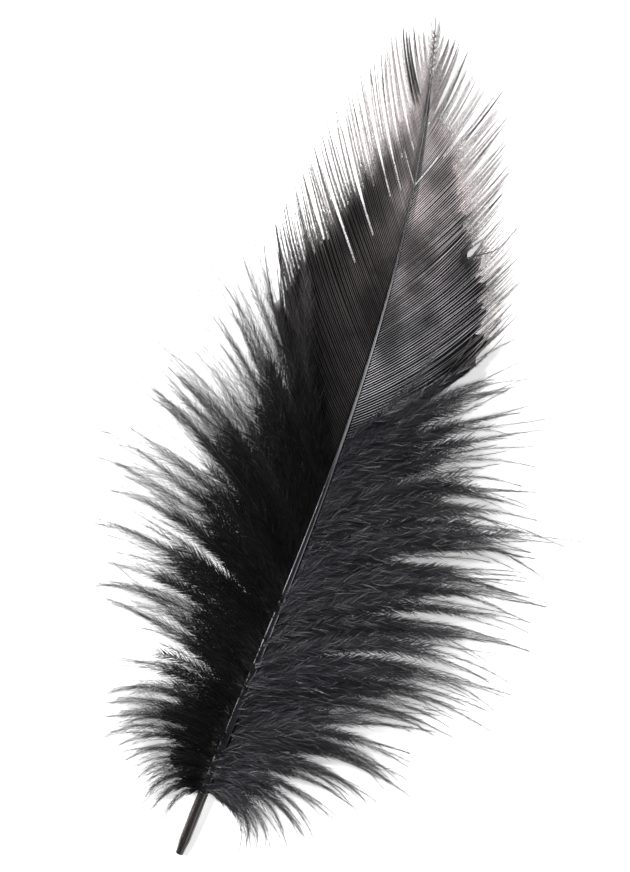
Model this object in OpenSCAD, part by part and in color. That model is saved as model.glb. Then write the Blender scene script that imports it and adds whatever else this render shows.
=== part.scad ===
// A loose body feather of a domestic fowl, dyed black: a hollow calamus, a bowed rachis, a flat
// closed vane over the tip half, long down over the lower half and a tuft at the calamus.
// It lies on a flat surface with its shaft along +Y, its hollow underside down, and +Z up.
// The origin is the middle of the box around it, at the surface that it lies on.

/* [Shaft] */
// Length of the feather on a straight line from the calamus end to the tip
feather_len = 114; // [95:1:137]
// Sideways bow of the shaft a third of the way up
bow_low = 2.9; // [2:0.1:4]
// Sideways bow of the shaft two thirds of the way up
bow_high = 9.2; // [7:0.1:11]
// Rise of the shaft's arch a third of the way up
arch_low = 3.9; // [3:0.1:5]
// Rise of the shaft's arch two thirds of the way up
arch_high = 5.3; // [4:0.1:7]
// Height of the tip's centre line over the surface
tip_height = 0.5; // [0.2:0.05:0.8]

/* [Calamus] */
// Length of the bare calamus below the down
calamus_len = 8.6; // [7.2:0.1:10.3]
// Diameter of the calamus along its straight part
calamus_d = 1.5; // [1.25:0.05:1.8]
// Diameter of the calamus at its blunt end
calamus_end_d = 1.1; // [0.95:0.05:1.2]
// Length over which the blunt end widens to the straight part
calamus_taper_len = 2.2; // [1.8:0.1:2.6]
// Wall of the calamus
calamus_wall = 0.14; // [0.1:0.01:0.18]
// Diameter of the pore in the calamus end
pore_d = 0.3; // [0.24:0.02:0.4]
// Number of dried pulp caps in the calamus
pulp_caps = 5; // [3:1:6]

/* [Rachis] */
// Width of the rachis where it leaves the calamus
rachis_d = 1.36; // [1.15:0.05:1.5]
// Width of the rachis at the tip
rachis_tip_d = 0.14; // [0.12:0.01:0.2]
// How quickly the rachis narrows: 1 is an even taper
rachis_taper = 1.7; // [1.2:0.1:2.2]
// Height of the rachis as a share of its width
rachis_flatness = 0.9; // [0.75:0.05:1]
// Wall of the rachis where it leaves the calamus
cortex_wall = 0.16; // [0.12:0.01:0.2]
// Depth of the groove along the rachis as a share of its half height
groove_depth = 0.3; // [0.1:0.05:0.4]

/* [Vane] */
// Thickness of the closed vane
vane_t = 0.16; // [0.12:0.01:0.24]
// Gap between the rachis and the barb roots
root_gap = 0.2; // [0.16:0.01:0.25]
// Gap between two groups of barbs that flex apart
flex_gap = 0.5; // [0.4:0.05:0.8]
// Width of a split in the vane at its outer edge
split_w = 0.55; // [0.3:0.05:0.9]
// Thickness of a lock of barbs that is twisted or kinked together
lock_t = 0.3; // [0.24:0.02:0.4]
// Fall of the vane from the shaft to its edges, in degrees
vane_droop = 7; // [4:0.5:9]

/* [Down] */
// Thickness of the down's barbs
down_t = 0.3; // [0.2:0.05:0.4]
// Distance between the down's barbs along the shaft
down_pitch = 1.5; // [1.3:0.1:1.8]
// Width of a down barb with its barbules at its root
down_w = 0.75; // [0.6:0.05:0.8]
// Width of a down barb at its end
down_end_w = 0.3; // [0.25:0.05:0.35]
// Width of the strip that joins the barbs along their roots
strip_w = 0.5; // [0.4:0.05:0.6]
// Fall of the down from the shaft to its edges, in degrees
down_droop = 4; // [2:0.5:5]
// Fall of the base tufts from the shaft to their edges, in degrees
tuft_droop = 4; // [2:0.5:5]

/* [Hidden] */

left = -1;
right = 1;
round_fn = 96;
fit_gap = 0.02;

// Where the barb groups meet, as shares of the feather's length
calamus_share = calamus_len / feather_len;
tuft_start = calamus_share + 0.0026;
tuft_end = 0.125;
down_break_low = 0.25;
down_break_high = 0.37;
vane_start = [0.470, 0.505];
vane_break_low = 0.6;
vane_break_high = 0.71;
tip_start = 0.81;
tip_end = 0.985;
twist_start = 0.86;
twist_end = 0.89;
kink_start = 0.633;
kink_end = 0.655;

// Where along its barbs a twisted or kinked lock begins, as a share of their length
twist_from = 0.4;
kink_from = 0.6;

// The barbs, one row for each place where they change: the place along the shaft as a share of the
// feather's length, the barb's length, its angle to the shaft at its root, and how far it curls
// towards the tip by its end (away from the tip where this is negative).
BARBS_LEFT = [
    [0.075,  6.5, 80, -80], [0.10,  9.5, 80, -75], [0.13, 15.5, 75, -58], [0.18, 18.0, 68, -48],
    [0.21, 23.0, 65, -42], [0.26, 27.0, 61, -45], [0.32, 31.0, 55, -37], [0.37, 32.0, 46, -24],
    [0.42, 32.0, 43, -15], [0.465, 30.5, 42, 0], [0.47, 27.5, 47, 25], [0.52, 28.5, 46, 18],
    [0.60, 26.5, 41, 11], [0.67, 25.0, 37, 7], [0.72, 24.0, 33, 10], [0.77, 22.0, 29, 13],
    [0.83, 18.0, 27, 13], [0.885, 12.5, 24, 12], [0.94, 5.0, 18, 8], [1.00, 1.2, 12, 4]
];
BARBS_RIGHT = [
    [0.075,  8.0, 72, -100], [0.10, 15.0, 68, -62], [0.12, 20.5, 57, -50], [0.16, 26.0, 50, -42],
    [0.20, 31.0, 50, -50], [0.27, 33.5, 46, -48], [0.34, 34.0, 45, -46], [0.40, 32.5, 45, -43],
    [0.455, 29.5, 46, -30], [0.50, 27.5, 47, -8], [0.505, 23.0, 54, 32], [0.60, 23.0, 45, 20],
    [0.66, 20.8, 41, 20], [0.73, 19.5, 37, 12], [0.78, 19.0, 34, 10], [0.83, 15.0, 28, 14],
    [0.885, 11.0, 21, 12], [0.94, 4.5, 17, 6], [1.00, 1.2, 12, 4]
];

// Points of a curve with two ends and two inner control values
function bezier(a, b, c, d, t) =
    a * pow(1 - t, 3) + 3 * b * t * pow(1 - t, 2) + 3 * c * t * t * (1 - t) + d * pow(t, 3);
function bezier_slope(a, b, c, d, t) =
    3 * (b - a) * pow(1 - t, 2) + 6 * (c - b) * t * (1 - t) + 3 * (d - c) * t * t;

// The shaft's centre line: s is the share of the feather's length from the calamus end. The end is
// held just off the surface by the tufts beside it.
calamus_lift = 0.1;
calamus_height = calamus_end_d / 2 + calamus_lift;
function shaft_point(s) = [
    bezier(0, bow_low, bow_high, 0, s),
    feather_len * s,
    bezier(calamus_height, calamus_height + arch_low, calamus_height + arch_high, tip_height, s)
];
function unit(v) = v / norm(v);
function shaft_dir(s) = unit([
    bezier_slope(0, bow_low, bow_high, 0, s),
    feather_len,
    bezier_slope(calamus_height, calamus_height + arch_low, calamus_height + arch_high, tip_height, s)
]);
function heading(s) = atan2(shaft_dir(s)[0], shaft_dir(s)[1]);
function side_dir(v) = unit(cross(v, [0, 0, 1]));

function rachis_w(s) = rachis_tip_d
    + (rachis_d - rachis_tip_d) * pow((1 - s) / (1 - calamus_share), rachis_taper);

// One column of a barb table at a place along the shaft
function barb_value(side, s, column) =
    lookup(s, [for (row = side == left ? BARBS_LEFT : BARBS_RIGHT) [row[0], row[column]]]);

// A flat group of barbs lies in a plane through the shaft at both ends of the group:
// [origin, outward, along, normal]
function plane_of(side, s_low, s_high, droop) =
    let (low = shaft_point(s_low), high = shaft_point(s_high), along = unit(high - low),
         level = side * side_dir(along), up = cross(side_dir(along), along),
         outward = cos(droop) * level - sin(droop) * up)
    [low, outward, along, cross(outward, along)];
function plane_heading(plane) = atan2(plane[2][0], plane[2][1]);
function in_plane(plane, point) = [(point - plane[0]) * plane[1], (point - plane[0]) * plane[2]];
function in_space(plane, p) = plane[0] + p[0] * plane[1] + p[1] * plane[2];

// A barb's centre line in the plane of its group: w runs from 0 at the root to 1 at the end
function barb_root(side, plane, s) =
    let (turn = side * (heading(s) - plane_heading(plane)))
    in_plane(plane, shaft_point(s)) + (rachis_w(s) / 2 + root_gap) * [cos(turn), -sin(turn)];
function arc_chord(len, turn) = abs(turn) < 0.01 ? len : len * sin(turn / 2) / (turn / 2 * PI / 180);
function barb_heading(side, plane, s, w) =
    barb_value(side, s, 2) + side * (heading(s) - plane_heading(plane)) - barb_value(side, s, 3) * w;
function barb_point(side, plane, s, w) =
    let (bend = barb_value(side, s, 3) * w, len = barb_value(side, s, 1) * w,
         mean = barb_heading(side, plane, s, w / 2), chord = arc_chord(len, bend))
    barb_root(side, plane, s) + chord * [sin(mean), cos(mean)];

// Cuts run this far out along the barbs, a little past their ends
past_end = 1.15;
function steps(low, high, count) = [for (i = [0 : count]) low + (high - low) * i / count];

// Outline of a closed stretch of vane from the barb at s_low to the barb at s_high
vane_steps = 12;
function vane_outline(side, plane, s_low, s_high) = concat(
    [for (s = steps(s_low, s_high, vane_steps)) barb_root(side, plane, s)],
    [for (w = steps(1 / vane_steps, 1, vane_steps - 1)) barb_point(side, plane, s_high, w)],
    [for (s = steps(s_high, s_low, vane_steps)) if (s < s_high && s > s_low) barb_point(side, plane, s, 1)],
    [for (w = steps(1, 1 / vane_steps, vane_steps - 1)) barb_point(side, plane, s_low, w)]
);

// A point beside a barb's centre line, towards the calamus where shift is positive
function beside_barb(side, plane, s, w, shift) =
    let (h = barb_heading(side, plane, s, w)) barb_point(side, plane, s, w) + shift * [cos(h), -sin(h)];

// Outline of a comb of free down barbs on a strip along their roots: out along the lower edge of
// each barb and back along its upper edge, then down the line of the roots
barb_steps = 8;
function reversed(list) = [for (i = [len(list) - 1 : -1 : 0]) list[i]];
function barb_edge(side, plane, s, edge) = [
    for (w = steps(strip_w / barb_value(side, s, 1), 1, barb_steps))
        beside_barb(side, plane, s, w, edge * (down_w + (down_end_w - down_w) * w) / 2)
];
function comb_outline(side, plane, s_low, s_high) =
    let (count = max(1, round((s_high - s_low) * feather_len / down_pitch)),
         places = [for (i = [0 : count - 1]) s_low + (s_high - s_low) * (i + 0.5) / count])
    concat(
        [for (s = places) each concat(barb_edge(side, plane, s, 1), reversed(barb_edge(side, plane, s, -1)))],
        [for (s = steps(s_high, s_low, barb_steps)) barb_root(side, plane, s)]);

module lay(plane, thickness)
    multmatrix([for (i = [0 : 2]) [plane[1][i], plane[2][i], plane[3][i], plane[0][i]]])
        linear_extrude(thickness, center = true) children();

// The planes of the groups that flex: one for each side and stretch of the shaft
function vane_low(side) = side == left ? vane_start[0] : vane_start[1];
gap_share = flex_gap / feather_len;
function tip_plane(side) = plane_of(side, tip_start, tip_end, vane_droop);
function vane_plane(side) = plane_of(side, vane_low(side), tip_start, vane_droop);
function down_plane(side) = plane_of(side, tuft_end, vane_low(side), down_droop);
function tuft_plane(side) = plane_of(side, tuft_start, tuft_end, tuft_droop);

// The box around the outer points of every group and the shaft, which places the origin
box_steps = 60;
function ends_of(side, plane, s_low, s_high) =
    [for (s = steps(s_low, s_high, box_steps), w = [0.4 : 0.2 : 1])
        in_space(plane, barb_point(side, plane, s, w))];
outer_points = concat(
    [for (side = [left, right]) each concat(
        ends_of(side, tip_plane(side), tip_start, tip_end),
        ends_of(side, vane_plane(side), vane_low(side), tip_start),
        ends_of(side, down_plane(side), tuft_end, vane_low(side)),
        ends_of(side, tuft_plane(side), tuft_start, tuft_end))],
    [shaft_point(1), shaft_point(0), shaft_point(0) - [0, 0, calamus_end_d / 2]]
);
function column(points, i) = [for (p = points) p[i]];
box_low = [for (i = [0 : 2]) min(column(outer_points, i))];
box_high = [for (i = [0 : 2]) max(column(outer_points, i))];
origin = [(box_low[0] + box_high[0]) / 2, (box_low[1] + box_high[1]) / 2, box_low[2] - down_t / 2];
module placed() translate(-origin) children();

// Shaft pieces. They are drawn along +Z from the calamus end, then laid along the shaft's start.
module along_calamus() {
    dir = unit(shaft_point(calamus_share) - shaft_point(0));
    placed() translate(shaft_point(0))
        rotate([0, acos(dir[2]), atan2(dir[1], dir[0])]) children();
}
calamus_r = calamus_d / 2;
calamus_end_r = calamus_end_d / 2;
lumen_r = calamus_r - calamus_wall;
lumen_end_r = calamus_end_r - calamus_wall;
end_wall = 0.3;
edge_round = 0.22;

module calamus() {
    rounding = [for (a = [-90 : 15 : 0])
        [calamus_end_r - edge_round + edge_round * cos(a), edge_round + edge_round * sin(a)]];
    color([0.09, 0.07, 0.08]) along_calamus() difference() {
        rotate_extrude($fn = round_fn) polygon(concat(
            [[0, 0]], rounding,
            [[calamus_r, calamus_taper_len], [calamus_r, calamus_len], [0, calamus_len]]));
        rotate_extrude($fn = round_fn) polygon([
            [0, end_wall], [lumen_end_r, end_wall], [lumen_r, calamus_taper_len],
            [lumen_r, calamus_len + 1], [0, calamus_len + 1]]);
        translate([0, 0, -1]) cylinder(h = end_wall + 2, d = pore_d, $fn = round_fn);
    }
}

// The lower umbilicus is a plug of dried tissue set a little way into the pore
plug_inset = 0.06;
module lower_umbilicus()
    color([0.32, 0.27, 0.24]) along_calamus() translate([0, 0, plug_inset])
        cylinder(h = end_wall - plug_inset - fit_gap, d = pore_d - 2 * fit_gap, $fn = round_fn);

// Dried pulp caps: thin cups in a row up the lumen, clear of its taper and of the upper umbilicus
umbilicus_t = 0.35;
cap_t = 0.05;
cap_h = 0.45;
caps_clear = 0.1;
module pulp_cap_stack() {
    cap_r = lumen_r - fit_gap;
    shoulder_r = 0.6 * cap_r;
    shoulder_h = 0.75 * cap_h;
    first = calamus_taper_len + caps_clear;
    last = calamus_len - umbilicus_t - cap_h - cap_t - caps_clear;
    color([0.42, 0.36, 0.32]) along_calamus() for (i = [0 : pulp_caps - 1])
        translate([0, 0, first + (last - first) * i / (pulp_caps - 1)])
            rotate_extrude($fn = round_fn) polygon([
                [0, cap_h], [shoulder_r, shoulder_h], [cap_r, 0],
                [cap_r, cap_t], [shoulder_r, shoulder_h + cap_t], [0, cap_h + cap_t]]);
}

// The upper umbilicus closes the lumen where the calamus meets the rachis
module upper_umbilicus()
    color([0.25, 0.2, 0.18]) along_calamus() translate([0, 0, calamus_len - umbilicus_t])
        cylinder(h = umbilicus_t - fit_gap, r = lumen_r - fit_gap, $fn = round_fn);

// The rachis: rings of points swept along the shaft's centre line. One ring is a rounded bar with
// a groove along its top.
ring_sides = 20;
rachis_rings = 36;
squareness = 0.75;
groove_half_angle = 32;
function soft(x) = sign(x) * pow(abs(x), squareness);
function groove(a) = groove_depth * max(0, 1 - pow((a - 90) / groove_half_angle, 2));
function ring(s, w) =
    let (side = side_dir(shaft_dir(s)), up = cross(side, shaft_dir(s)), h = w * rachis_flatness)
    [for (i = [0 : ring_sides - 1]) let (a = 360 * i / ring_sides)
        shaft_point(s) + side * w / 2 * soft(cos(a)) + up * h / 2 * (soft(sin(a)) - groove(a))];
function wall_at(s) = cortex_wall * rachis_w(s) / rachis_d;

// One closed skin over a run of rings, with a flat cap on the first ring and the last
module skin(rings) {
    n = ring_sides;
    last = len(rings) - 1;
    polyhedron(
        points = [for (r = rings) each r],
        faces = concat(
            [[for (i = [0 : n - 1]) i]],
            [[for (i = [n - 1 : -1 : 0]) last * n + i]],
            [for (k = [0 : last - 1], i = [0 : n - 1]) each [
                [k * n + i, (k + 1) * n + i, (k + 1) * n + (i + 1) % n],
                [k * n + i, (k + 1) * n + (i + 1) % n, k * n + (i + 1) % n]]]));
}

// The rachis is filled with pith for most of its length, and solid beyond that
rachis_start = calamus_share + fit_gap / feather_len;
pith_end = 0.9;
pith_gap = 0.005;
module rachis_cortex()
    color([0.12, 0.12, 0.14]) placed() skin(concat(
        [for (s = steps(pith_end, rachis_start, rachis_rings)) ring(s, rachis_w(s) - 2 * wall_at(s))],
        [for (s = steps(rachis_start, 1, rachis_rings)) ring(s, rachis_w(s))]));

module rachis_pith()
    color([0.5, 0.47, 0.44]) placed() skin(
        [for (s = steps(rachis_start, pith_end - pith_gap, rachis_rings))
            ring(s, rachis_w(s) - 2 * wall_at(s) - 2 * fit_gap * rachis_w(s) / rachis_d)]);

// A closed stretch of vane, with splits that run in from its outer edge along the barbs. Each split
// is given by its place along the shaft, and all start at the same share of the barbs' length.
module vane(side, plane, s_low, s_high, splits, depth)
    placed() lay(plane, vane_t) difference() {
        polygon(vane_outline(side, plane, s_low, s_high));
        for (s = splits) split(side, plane, s, depth);
    }

split_end_w = 0.04;
function split_edge(side, plane, s, depth, edge) = [
    for (w = steps(depth, past_end, barb_steps))
        beside_barb(side, plane, s, w, edge * (split_end_w + split_w * (w - depth) / (1 - depth)) / 2)
];
module split(side, plane, s, depth)
    polygon(concat(split_edge(side, plane, s, depth, 1), reversed(split_edge(side, plane, s, depth, -1))));

// A comb of free down barbs
module down(side, plane, s_low, s_high)
    placed() lay(plane, down_t) polygon(comb_outline(side, plane, s_low, s_high));

module tip_barbs_left()
    color([0.42, 0.39, 0.40]) difference() {
        vane(left, tip_plane(left), tip_start + gap_share, tip_end, [0.83, 0.91, 0.935, 0.96], 0.3);
        placed() lay(tip_plane(left), 2 * vane_t)
            lock_outline(left, tip_plane(left), twist_start, twist_end, twist_from, past_end);
    }
module tip_barbs_right()
    color([0.42, 0.39, 0.40])
        vane(right, tip_plane(right), tip_start + gap_share, tip_end, [0.83, 0.865, 0.9, 0.93, 0.96], 0.3);

// The outer part of a narrow lock of barbs, from a share of their length to their ends. A cut for
// the lock runs on past the ends.
module lock_outline(side, plane, s_low, s_high, from, beyond = []) {
    ws = concat(steps(from, 1, barb_steps), beyond);
    polygon(concat(
        [for (w = ws) barb_point(side, plane, s_high, w)],
        [for (w = reversed(ws)) barb_point(side, plane, s_low, w)]));
}
module twisted_barbs_left()
    color([0.05, 0.05, 0.06]) placed() lay(tip_plane(left), lock_t)
        lock_outline(left, tip_plane(left), twist_start, twist_end, twist_from);

module upper_vane_left()
    color([0.25, 0.23, 0.24])
        vane(left, vane_plane(left), vane_break_high, tip_start, [0.73, 0.755, 0.785], 0.25);
module middle_vane_left()
    color([0.17, 0.16, 0.17])
        vane(left, vane_plane(left), vane_break_low, vane_break_high, [0.635, 0.66, 0.69], 0.55);
module lower_vane_left()
    color([0.11, 0.11, 0.12])
        vane(left, vane_plane(left), vane_low(left) + gap_share, vane_break_low, [0.52, 0.565], 0.7);
module upper_vane_right()
    color([0.25, 0.24, 0.26])
        vane(right, vane_plane(right), vane_break_high, tip_start, [0.74, 0.77], 0.45);
module middle_vane_right()
    color([0.19, 0.19, 0.21]) difference() {
        vane(right, vane_plane(right), vane_break_low, vane_break_high, [0.62, 0.685], 0.6);
        placed() lay(vane_plane(right), 2 * vane_t)
            lock_outline(right, vane_plane(right), kink_start, kink_end, kink_from, past_end);
    }
module kinked_lock_right()
    color([0.08, 0.08, 0.09]) placed() lay(vane_plane(right), lock_t)
        lock_outline(right, vane_plane(right), kink_start, kink_end, kink_from);
module lower_vane_right()
    color([0.14, 0.14, 0.16])
        vane(right, vane_plane(right), vane_low(right) + gap_share, vane_break_low, [0.535, 0.57], 0.75);

module upper_down_left()
    color([0.07, 0.07, 0.08]) down(left, down_plane(left), down_break_high, vane_low(left));
module middle_down_left()
    color([0.08, 0.08, 0.09]) down(left, down_plane(left), down_break_low, down_break_high);
module lower_down_left()
    color([0.10, 0.10, 0.11]) down(left, down_plane(left), tuft_end + gap_share, down_break_low);
module upper_down_right()
    color([0.15, 0.14, 0.17]) down(right, down_plane(right), down_break_high, vane_low(right));
module middle_down_right()
    color([0.13, 0.13, 0.15]) down(right, down_plane(right), down_break_low, down_break_high);
module lower_down_right()
    color([0.12, 0.12, 0.13]) down(right, down_plane(right), tuft_end + gap_share, down_break_low);
module base_tuft_left()
    color([0.14, 0.14, 0.15]) down(left, tuft_plane(left), tuft_start, tuft_end);
module base_tuft_right()
    color([0.14, 0.14, 0.15]) down(right, tuft_plane(right), tuft_start, tuft_end);

calamus();
lower_umbilicus();
pulp_cap_stack();
upper_umbilicus();
rachis_cortex();
rachis_pith();
tip_barbs_left();
twisted_barbs_left();
upper_vane_left();
middle_vane_left();
lower_vane_left();
upper_down_left();
middle_down_left();
lower_down_left();
base_tuft_left();
tip_barbs_right();
upper_vane_right();
middle_vane_right();
kinked_lock_right();
lower_vane_right();
upper_down_right();
middle_down_right();
lower_down_right();
base_tuft_right();
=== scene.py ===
"""A black-dyed body feather of a domestic fowl, grown strand by strand on its CAD frame.

Every barb is a tapered stem with its own barbules. Thin webs join the barbs of the closed vane, and
the barbs of the down are free.
"""

import math

import bpy
import numpy as np
from bpy.props import FloatProperty, FloatVectorProperty, PointerProperty
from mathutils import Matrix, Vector


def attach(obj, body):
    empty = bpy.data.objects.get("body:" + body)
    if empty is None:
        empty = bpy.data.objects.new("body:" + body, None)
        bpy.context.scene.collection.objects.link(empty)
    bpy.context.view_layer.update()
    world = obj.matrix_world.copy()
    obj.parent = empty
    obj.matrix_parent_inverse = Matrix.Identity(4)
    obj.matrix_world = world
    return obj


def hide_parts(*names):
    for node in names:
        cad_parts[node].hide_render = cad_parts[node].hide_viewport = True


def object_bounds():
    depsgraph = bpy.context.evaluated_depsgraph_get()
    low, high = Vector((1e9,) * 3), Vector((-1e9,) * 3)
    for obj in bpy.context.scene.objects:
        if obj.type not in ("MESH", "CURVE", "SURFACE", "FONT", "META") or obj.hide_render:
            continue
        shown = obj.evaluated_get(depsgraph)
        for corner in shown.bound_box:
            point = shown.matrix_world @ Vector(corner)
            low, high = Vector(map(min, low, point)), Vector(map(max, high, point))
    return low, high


bl_info = {
    "name": "Dyed Fowl Feather",
    "version": (1, 0, 0),
    "blender": (4, 5, 0),
    "location": "3D View > Sidebar > Feather",
    "description": "Grows a dyed fowl feather, barb by barb, around its CAD frame",
    "category": "Object",
}

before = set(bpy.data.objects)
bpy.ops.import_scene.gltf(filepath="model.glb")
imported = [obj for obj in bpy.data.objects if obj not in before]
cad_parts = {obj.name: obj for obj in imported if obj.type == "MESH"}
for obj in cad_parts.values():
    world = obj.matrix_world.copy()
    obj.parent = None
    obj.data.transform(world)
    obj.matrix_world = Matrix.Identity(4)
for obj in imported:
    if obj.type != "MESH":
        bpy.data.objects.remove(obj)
CAD_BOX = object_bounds()

MM = 0.001
LEFT, RIGHT = -1, 1
WORDS = {LEFT: "left", RIGHT: "right"}

# The barbs, one row for each place where they change: the place along the shaft as a share of the
# feather's length, the barb's length in millimetres, its angle to the shaft at its root, and how far
# it curls towards the tip by its end. They are the same rows as the CAD's.
BARB_ROWS = {
    LEFT: [
        [0.075, 6.5, 80, -80], [0.10, 9.5, 80, -75], [0.13, 15.5, 75, -58], [0.18, 18.0, 68, -48],
        [0.21, 23.0, 65, -42], [0.26, 27.0, 61, -45], [0.32, 31.0, 55, -37], [0.37, 32.0, 46, -24],
        [0.42, 32.0, 43, -15], [0.465, 30.5, 42, 0], [0.47, 27.5, 47, 25], [0.52, 28.5, 46, 18],
        [0.60, 26.5, 41, 11], [0.67, 25.0, 37, 7], [0.72, 24.0, 33, 10], [0.77, 22.0, 29, 13],
        [0.83, 18.0, 27, 13], [0.885, 12.5, 24, 12], [0.94, 5.0, 18, 8], [1.00, 1.2, 12, 4],
    ],
    RIGHT: [
        [0.075, 8.0, 72, -100], [0.10, 15.0, 68, -62], [0.12, 20.5, 57, -50], [0.16, 26.0, 50, -42],
        [0.20, 31.0, 50, -50], [0.27, 33.5, 46, -48], [0.34, 34.0, 45, -46], [0.40, 32.5, 45, -43],
        [0.455, 29.5, 46, -30], [0.50, 27.5, 47, -8], [0.505, 23.0, 54, 32], [0.60, 23.0, 45, 20],
        [0.66, 20.8, 41, 20], [0.73, 19.5, 37, 12], [0.78, 19.0, 34, 10], [0.83, 15.0, 28, 14],
        [0.885, 11.0, 21, 12], [0.94, 4.5, 17, 6], [1.00, 1.2, 12, 4],
    ],
}
VANE_START = {LEFT: 0.470, RIGHT: 0.505}
TUFT_START = 0.078

# The pieces on each side from the calamus up: the CAD node and the body, both without their side, and
# the share of the shaft where the piece ends. A piece with no end runs to the start of the vane.
DOWN_PIECES = [
    ("base_tuft", "tuft", 0.125), ("lower_down", "down", 0.25), ("middle_down", "down", 0.37),
    ("upper_down", "down", None),
]
VANE_PIECES = [
    ("lower_vane", "vane", 0.60), ("middle_vane", "vane", 0.71), ("upper_vane", "vane", 0.81),
    ("tip_barbs", "tip", 1.0),
]

# Locks of barbs that are stuck together: their stretch of the shaft and where along the barbs they start
TWISTED_LOCK = (0.86, 0.89, 0.4)
KINKED_LOCK = (0.633, 0.655, 0.6)
# Dark bundles of a few barbs in the fringe and in the two locks, in the same form
BUNDLES = {
    LEFT: [
        (0.861, 0.869, 0.2), (0.871, 0.879, 0.14), (0.881, 0.889, 0.16), (0.900, 0.906, 0.5),
        (0.774, 0.781, 0.62), (0.752, 0.757, 0.8), (0.712, 0.719, 0.7), (0.682, 0.688, 0.8),
        (0.640, 0.645, 0.85), (0.603, 0.609, 0.8), (0.505, 0.513, 0.75), (0.52, 0.526, 0.85),
    ],
    RIGHT: [
        (0.6435, 0.650, 0.66), (0.788, 0.795, 0.5), (0.750, 0.756, 0.62), (0.735, 0.740, 0.7),
        (0.700, 0.7055, 0.75), (0.668, 0.673, 0.8), (0.615, 0.620, 0.85), (0.855, 0.86, 0.6),
    ],
}

# Splits in the vane: place along the shaft, where along the barbs it opens, and its width in
# millimetres at the edge
SPLITS = {
    LEFT: [
        (0.470, 0.9, 0.3), (0.503, 0.85, 0.3), (0.54, 0.8, 0.3), (0.575, 0.75, 0.4), (0.603, 0.6, 0.4),
        (0.625, 0.75, 0.3), (0.645, 0.3, 0.6), (0.662, 0.65, 0.3), (0.678, 0.6, 0.4), (0.693, 0.25, 0.6),
        (0.706, 0.55, 0.3), (0.72, 0.4, 0.5), (0.733, 0.5, 0.4), (0.748, 0.2, 0.5), (0.761, 0.4, 0.4),
        (0.774, 0.12, 0.6), (0.787, 0.35, 0.4), (0.80, 0.2, 0.5), (0.813, 0.3, 0.4), (0.833, 0.06, 0.6),
        (0.85, 0.3, 0.4), (0.86, 0.35, 0.3), (0.89, 0.2, 0.4), (0.905, 0.3, 0.3), (0.92, 0.3, 0.3),
        (0.94, 0.3, 0.3), (0.96, 0.3, 0.2), (1.0, 0.5, 0.1),
    ],
    RIGHT: [
        (0.505, 0.9, 0.2), (0.535, 0.85, 0.2), (0.57, 0.85, 0.2), (0.60, 0.85, 0.2), (0.633, 0.75, 0.2),
        (0.655, 0.7, 0.4), (0.68, 0.75, 0.3), (0.71, 0.7, 0.5), (0.728, 0.75, 0.3), (0.742, 0.55, 0.5),
        (0.768, 0.6, 0.4), (0.80, 0.3, 0.8), (0.822, 0.45, 0.3), (0.84, 0.25, 0.4), (0.855, 0.4, 0.3),
        (0.872, 0.05, 0.6), (0.89, 0.35, 0.3), (0.91, 0.3, 0.3), (0.93, 0.3, 0.3), (0.95, 0.3, 0.3),
        (1.0, 0.5, 0.1),
    ],
}
# How far out along the barbs the dark core of the vane reaches, and its closed web, at places along
# the shaft
CORE_ENDS = {
    LEFT: ([0.48, 0.56, 0.60, 0.66, 0.70, 0.76, 0.80, 0.84, 0.88, 0.92],
           [0.80, 0.78, 0.72, 0.65, 0.59, 0.51, 0.44, 0.35, 0.24, 0.2]),
    RIGHT: ([0.52, 0.56, 0.60, 0.64, 0.68, 0.72, 0.76, 0.82, 0.86, 0.92],
            [0.88, 0.86, 0.82, 0.79, 0.73, 0.63, 0.54, 0.46, 0.31, 0.15]),
}
WEB_SHARE = ([0.5, 0.85, 0.93], [0.94, 0.9, 0.0])

# Painted light on the vane: a factor on each side's colour at places along the shaft, and the strength of
# the painted highlight on its stems
VANE_LIT = {
    LEFT: ([0.48, 0.56, 0.66, 0.8], [0.3, 0.4, 0.65, 1.5]),
    RIGHT: ([0.5, 0.53, 0.6, 0.7, 0.85], [0.22, 0.6, 1.1, 0.95, 0.55]),
}
STEM_HIGHLIGHT = {LEFT: 2.6, RIGHT: 14.0}
# The fraction in a point's mark tells where it is: on a stem up to the first limit, on a web or a mat
# up to the second, and on a barbule from there to its tip
STEM_MARK, SHEET_MARK = 0.11, 0.3

# The soft lights: name, power in watts, width in metres, and the direction that they come from
SOFTBOXES = [
    ("key_softbox", 12.0, 0.28, (-0.57, 0.30, 0.77)),
    ("side_softbox", 9.0, 0.35, (-0.93, 0.05, 0.36)),
    ("fill_softbox", 1.2, 0.6, (0.7, -0.4, 0.6)),
]
LIGHT_DISTANCE = 0.9
# The camera: the height of the picture on the floor, the distance above it, and the turn
VIEW_HEIGHT, VIEW_DISTANCE, VIEW_TURN = 0.1134, 0.6, 17.07


# ---------------- sizes and colours

def length(label, text, default):
    return FloatProperty(name=label, description=text, default=default, unit="LENGTH", precision=5)


def colour(label, text, default):
    return FloatVectorProperty(
        name=label, description=text, default=default, subtype="COLOR", min=0, max=1)


class FeatherSizes(bpy.types.PropertyGroup):
    feather: length("Feather", "Length from the calamus end to the tip, on a straight line", 0.114)
    calamus: length("Calamus", "Length of the bare calamus", 0.0086)
    vane_pitch: length("Vane barb pitch", "Distance between the vane's barbs along the shaft", 0.00039)
    down_pitch: length("Down barb pitch", "Distance between the down's barbs along the shaft", 0.00038)
    stem: length("Vane stem", "Half width of a vane barb's stem at its root", 0.000075)
    down_stem: length("Down stem", "Half width of a down barb's stem at its root", 0.00005)
    barbule: length("Vane barbule", "Length of a barbule of the vane", 0.00052)
    barbule_gap: length("Vane barbule spacing", "Distance between a vane barb's barbules", 0.00015)
    down_barbule: length("Down barbule", "Length of the longest barbules of the down", 0.0028)
    down_barbule_gap: length("Down barbule spacing", "Distance between a down barb's barbules", 0.00009)


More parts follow.
